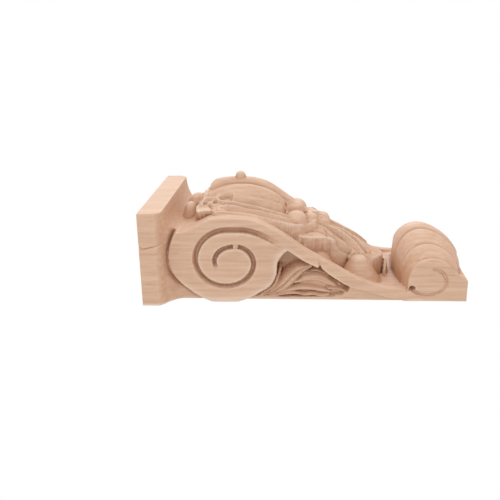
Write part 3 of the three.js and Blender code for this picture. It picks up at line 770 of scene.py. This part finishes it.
def carveBlock():
    r = corbel["edgeRound"]
    sideA, sideH, width = carvedSide()
    half, top = width[-1], sideH[-1]
    frontA, frontD, frontH = carvedFront(sideA[-1], half)
    frontH[0] = frontH[-1] = top
    # worn arris between side and front: each of them bends through half of the quarter turn
    turn = np.clip((sideH - (top - r)) / r, 0, 1) * math.pi / 4
    nearTop = sideH > top - r
    width = np.where(nearTop, np.minimum(width, half) - r * (1 - np.cos(turn)), width)
    sideH = np.where(nearTop, top - r + r * np.sin(turn), sideH)
    inner = np.clip((half - np.abs(frontD)) / r, 0, 1)
    turn = (1 + inner) * math.pi / 4
    frontD = np.where(inner < 1, np.sign(frontD) * (half - r + r * np.cos(turn)), frontD)
    frontH = np.where(inner < 1, frontH - r + r * np.sin(turn), frontH)
    # loop round the block: back, near side, front, far side, back
    near = withFlaws(sideA, sideH, width)
    back = grid["backRows"] // 2
    rows = [(sideA[0], -width[0] * k / back, sideH[0]) for k in range(back)]
    rows += [(sideA[k], -near[k], sideH[k]) for k in range(len(sideA) - 1)]
    rows += list(zip(frontA, frontD, frontH))
    rows += [(sideA[k], width[k], sideH[k]) for k in range(len(sideA) - 2, -1, -1)]
    rows += [(sideA[0], width[0] * k / back, sideH[0]) for k in range(back - 1, -1, -1)]
    points = np.array(rows)                      # loop, (a, d, h), station
    return np.stack([points[:, 1], -points[:, 2], corbel["length"] / 2 - points[:, 0]], -1) / 1000


def blurred(values, reach):
    # mean over a square of grid points, closed round the loop
    for axis in (0, 1):
        mode = "wrap" if axis == 0 else "edge"
        pad = [(0, 0)] * values.ndim
        pad[axis] = (reach + 1, reach)
        total = np.cumsum(np.pad(values, pad, mode=mode), axis=axis)
        size = values.shape[axis]
        high = np.take(total, np.arange(size) + 2 * reach + 1, axis=axis)
        low = np.take(total, np.arange(size), axis=axis)
        values = (high - low) / (2 * reach + 1)
    return values


# Painted shade for the carving's hollows, laid on by the material: how much fine and broad hollows count,
# in mm
shading = {
    "fine": 1.6, "broad": 0.3, "broadMost": 0.5,
    # the open recess gets less painted shade, between these ramps out from the wall and across
    "recessOut": (36, -2), "recessAcross": [(30, 2), (44.9, -0.3)], "recessLess": 0.85,
    "coveUp": (83, 2), "coveLess": 0.2,         # and so does the hollow under the plate
}


def hollowsOf(place):
    # how far each point lies below the surface around it, fine and broad added up
    v, mm = shading, place * 1000
    across = np.roll(mm, -1, 0) - np.roll(mm, 1, 0)
    normal = np.cross(across, np.gradient(mm, axis=1))
    normal /= np.maximum(np.linalg.norm(normal, axis=-1, keepdims=True), 1e-6)
    if ((mm - mm.mean((0, 1))) * normal).sum() < 0:
        normal = -normal
    fine = ((blurred(blurred(mm, 1), 1) - mm) * normal).sum(-1)
    broad = ((blurred(blurred(mm, 5), 4) - mm) * normal).sum(-1)
    recess = ramp(-mm[..., 1], *v["recessOut"])
    for rim in v["recessAcross"]:
        recess = recess * ramp(np.abs(mm[..., 0]), *rim)
    cove = ramp(mm[..., 2], *v["coveUp"])
    fine = fine * v["fine"] * (1 - v["coveLess"] * cove)
    broad = np.minimum(broad * v["broad"], v["broadMost"]) * (1 - cove)
    return (fine + broad) * (1 - v["recessLess"] * recess)


def meshFromGrid(name, place):
    loops, stations = place.shape[:2]
    hollows = hollowsOf(place)
    bm = bmesh.new()
    bmesh.ops.create_grid(bm, x_segments=loops - 1, y_segments=stations - 1, size=0.5)
    # the hollow attribute drives the material's painted shade in hollows and painted highlight on convex
    # edges
    layer = bm.verts.layers.float.new("hollow")
    for vert in bm.verts:
        i = round((vert.co.x + 0.5) * (loops - 1))
        j = round((vert.co.y + 0.5) * (stations - 1))
        vert.co = place[i, j]
        vert[layer] = hollows[i, j]
    bmesh.ops.remove_doubles(bm, verts=bm.verts, dist=1e-6)
    bmesh.ops.holes_fill(bm, edges=[e for e in bm.edges if e.is_boundary], sides=0)
    bmesh.ops.recalc_face_normals(bm, faces=bm.faces)
    for face in bm.faces:
        face.smooth = True
    for edge in bm.edges:
        edge.smooth = edge.is_manifold and edge.calc_face_angle(0) < math.radians(grid["sharpAngle"])
    mesh = bpy.data.meshes.new(name)
    bm.to_mesh(mesh)
    bm.free()
    piece = bpy.data.objects.new(name, mesh)
    bpy.context.scene.collection.objects.link(piece)
    return piece


carving = meshFromGrid("carvedBlock", carveBlock())
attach(carving, "root")
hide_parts("corbel")
print("stage: block carved,", len(carving.data.polygons), "faces")


def fromHex(text):
    # sRGB hex to the linear colour that Blender works in
    parts = [int(text[i:i + 2], 16) / 255 for i in (1, 3, 5)]
    return tuple(p / 12.92 if p <= 0.04045 else ((p + 0.055) / 1.055) ** 2.4 for p in parts) + (1.0,)


def addNode(material, kind, settings=None, links=None):
    node = material.node_tree.nodes.new(kind)
    for key, value in (settings or {}).items():
        if isinstance(key, str) and hasattr(node, key):
            setattr(node, key, value)
        else:
            node.inputs[key].default_value = value
    for key, socket in (links or {}).items():
        material.node_tree.links.new(socket, node.inputs[key])
    return node


# The wood: its colours, with those of the painted shade and painted highlight, and its pattern's sizes in
# mm across the grain and along it
wood = {
    # deep is the colour of the dark hair lines and also of the painted shade in hollows
    "pale": "#D7B499", "tan": "#C8A084", "line": "#A07050", "deep": "#8A4A1E",
    # worn is the pale colour of the painted highlight on convex edges and rims
    "endGrain": "#B4764A", "worn": "#F0DCCB",
    "zone": (2.6, 41.6),        # a growth zone
    "pore": (0.45, 9),          # drawn a little coarser than real pores, so that they show
    "hair": (1.1, 22),          # dark hair lines
    "hairFrom": (3.1, 7.7, 1.3),        # moves the hair lines clear of the other patterns
    "roughness": 0.58, "ior": 1.5, "bump": 0.15, "bumpDeep": 0.0003,
}


def grainScale(size):
    return (1000 / size[0], 1000 / size[0], 1000 / size[1])


def sandedRubberwood():
    # Rubberwood, carved and sanded, with no finish: matte, pale pinkish tan. Streaks and short
    # dark pores run down the length, cut end grain is browner, hollows are darkened with painted shade and
    # convex edges are lightened with a painted highlight.
    v = wood
    material = bpy.data.materials.new("sandedRubberwood")
    material.use_nodes = True
    material.node_tree.nodes.clear()
    place = addNode(material, "ShaderNodeTexCoord")
    zoneMap = addNode(material, "ShaderNodeMapping", {"Scale": grainScale(v["zone"])},
                      {"Vector": place.outputs["Object"]})
    zones = addNode(material, "ShaderNodeTexNoise", {"Scale": 1.0, "Detail": 6.0, "Roughness": 0.62},
                    {"Vector": zoneMap.outputs[0]})
    poreMap = addNode(material, "ShaderNodeMapping", {"Scale": grainScale(v["pore"])},
                      {"Vector": place.outputs["Object"]})
    pores = addNode(material, "ShaderNodeTexNoise", {"Scale": 1.0, "Detail": 2.0},
                    {"Vector": poreMap.outputs[0]})
    tone = addNode(material, "ShaderNodeValToRGB", None, {"Fac": zones.outputs[0]})
    tone.color_ramp.elements[0].position = 0.34
    tone.color_ramp.elements[0].color = fromHex(v["tan"])
    tone.color_ramp.elements[1].position = 0.66
    tone.color_ramp.elements[1].color = fromHex(v["pale"])
    poreMask = addNode(material, "ShaderNodeMapRange", {"From Min": 0.6, "From Max": 0.76, "To Max": 0.4},
                       {"Value": pores.outputs[0]})
    lined = addNode(material, "ShaderNodeMix", {"data_type": "RGBA", 7: fromHex(v["line"])},
                    {0: poreMask.outputs[0], 6: tone.outputs[0]})
    hairMap = addNode(material, "ShaderNodeMapping",
                      {"Scale": grainScale(v["hair"]), "Location": v["hairFrom"]},
                      {"Vector": place.outputs["Object"]})
    hairs = addNode(material, "ShaderNodeTexNoise", {"Scale": 1.0, "Detail": 1.0},
                    {"Vector": hairMap.outputs[0]})
    hairMask = addNode(material, "ShaderNodeMapRange", {"From Min": 0.735, "From Max": 0.77, "To Max": 0.5},
                       {"Value": hairs.outputs[0]})
    checked = addNode(material, "ShaderNodeMix", {"data_type": "RGBA", 7: fromHex(v["deep"])},
                      {0: hairMask.outputs[0], 6: lined.outputs[2]})
    facing = addNode(material, "ShaderNodeSeparateXYZ", None, {0: place.outputs["Normal"]})
    upright = addNode(material, "ShaderNodeMath", {"operation": "ABSOLUTE"}, {0: facing.outputs[2]})
    cutEnd = addNode(material, "ShaderNodeMapRange", {"From Min": 0.35, "From Max": 1.0, "To Max": 0.3},
                     {"Value": upright.outputs[0]})
    ended = addNode(material, "ShaderNodeMix", {"data_type": "RGBA", 7: fromHex(v["endGrain"])},
                    {0: cutEnd.outputs[0], 6: checked.outputs[2]})
    hollow = addNode(material, "ShaderNodeAttribute", {"attribute_name": "hollow"})
    # painted shade: the deep colour is mixed in where the carving is hollow, darkening creases, grooves and
    # recesses
    shade = addNode(material, "ShaderNodeMapRange", {"From Min": 0.16, "From Max": 2.0, "To Max": 0.72},
                    {"Value": hollow.outputs["Fac"]})
    paintedShadeMix = addNode(material, "ShaderNodeMix", {"data_type": "RGBA", 7: fromHex(v["deep"])},
                    {0: shade.outputs[0], 6: ended.outputs[2]})
    # painted highlight: the pale worn colour is mixed in where the carving is convex, lightening edges and
    # rims
    edge = addNode(material, "ShaderNodeMapRange", {"From Min": -0.15, "From Max": -1.5, "To Max": 0.36},
                   {"Value": hollow.outputs["Fac"]})
    paintedHighlightMix = addNode(material, "ShaderNodeMix", {"data_type": "RGBA", 7: fromHex(v["worn"])},
                     {0: edge.outputs[0], 6: paintedShadeMix.outputs[2]})
    bump = addNode(material, "ShaderNodeBump", {"Strength": v["bump"], "Distance": v["bumpDeep"]},
                   {"Height": pores.outputs[0]})
    shader = addNode(material, "ShaderNodeBsdfPrincipled", {"Roughness": v["roughness"], "IOR": v["ior"]},
                     {"Base Color": paintedHighlightMix.outputs[2], "Normal": bump.outputs[0]})
    addNode(material, "ShaderNodeOutputMaterial", None, {"Surface": shader.outputs[0]})
    return material


carving.data.materials.append(sandedRubberwood())
print("stage: wood finished")

# Camera fitted to the photo, its place as (a, d, h) in mm and its turns in radians, with a pale
# floor and room. The lights are aimed at the origin: place and size in metres, power in watts.
studio = {
    "cameraMm": (109.136, -489.061, 187.762), "yaw": -0.08024, "pitch": 0.32771, "roll": -0.021,
    "lens": 50.0, "sensor": 36.0, "clip": (0.01, 50),
    "floorDrop": 1.0, "floorSize": 3.0, "floorColour": "#F4F3F1", "floorRoughness": 0.9,
    "worldStrength": 1.0,
    "lights": [
        {"name": "keyLight", "at": (-0.2, -1.6, 0.4), "size": 0.9, "power": 3.4, "colour": "#FFF8F0"},
        {"name": "rimLight", "at": (1.3, -0.75, 0.1), "size": 1.0, "power": 6.5, "colour": "#FFFFFF"},
    ],
}


def toScene(p):
    # a direction given as a, d, h
    return Vector((p[1], -p[2], -p[0]))


def placeCamera():
    v = studio
    cy, sy, cp, sp = math.cos(v["yaw"]), math.sin(v["yaw"]), math.cos(v["pitch"]), math.sin(v["pitch"])
    forward = Vector((sy * cp, cy * cp, -sp))
    right = Vector((cy, -sy, 0))
    up = right.cross(forward)
    cr, sr = math.cos(v["roll"]), math.sin(v["roll"])
    right, up = right * cr + up * sr, up * cr - right * sr
    columns = [toScene(right), toScene(up), -toScene(forward)]
    a, d, h = v["cameraMm"]
    spot = Vector((d, -h, corbel["length"] / 2 - a)) / 1000
    matrix = Matrix([[columns[c][r] for c in range(3)] + [spot[r]] for r in range(3)] + [[0, 0, 0, 1]])
    data = bpy.data.cameras.new("photoView")
    data.lens, data.sensor_width = v["lens"], v["sensor"]
    data.clip_start, data.clip_end = v["clip"]
    camera = bpy.data.objects.new("photoView", data)
    camera.matrix_world = matrix
    bpy.context.scene.collection.objects.link(camera)
    bpy.context.scene.camera = camera


def addLight(v):
    data = bpy.data.lights.new(v["name"], "AREA")
    data.shape, data.size = "SQUARE", v["size"]
    data.energy, data.color = v["power"], fromHex(v["colour"])[:3]
    light = bpy.data.objects.new(v["name"], data)
    light.location = v["at"]
    light.rotation_euler = (-Vector(v["at"])).to_track_quat("-Z", "Y").to_euler()
    bpy.context.scene.collection.objects.link(light)


def buildStudio():
    v = studio
    bm = bmesh.new()
    bmesh.ops.create_grid(bm, x_segments=2, y_segments=2, size=v["floorSize"] / 2)
    bmesh.ops.translate(bm, vec=(0, 0, -v["floorDrop"]), verts=bm.verts)
    mesh = bpy.data.meshes.new("paleFloor")
    bm.to_mesh(mesh)
    bm.free()
    floor = bpy.data.objects.new("paleFloor", mesh)
    bpy.context.scene.collection.objects.link(floor)
    paint = bpy.data.materials.new("mattPaint")
    paint.use_nodes = True
    shader = paint.node_tree.nodes["Principled BSDF"]
    shader.inputs["Base Color"].default_value = fromHex(v["floorColour"])
    shader.inputs["Roughness"].default_value = v["floorRoughness"]
    mesh.materials.append(paint)
    world = bpy.data.worlds.new("paleRoom")
    world.use_nodes = True
    world.node_tree.nodes["Background"].inputs[0].default_value = (1, 1, 1, 1)
    world.node_tree.nodes["Background"].inputs[1].default_value = v["worldStrength"]
    bpy.context.scene.world = world
    bpy.context.scene.view_settings.view_transform = "Standard"
    for light in v["lights"]:
        addLight(light)


placeCamera()
buildStudio()
print("stage: studio set")
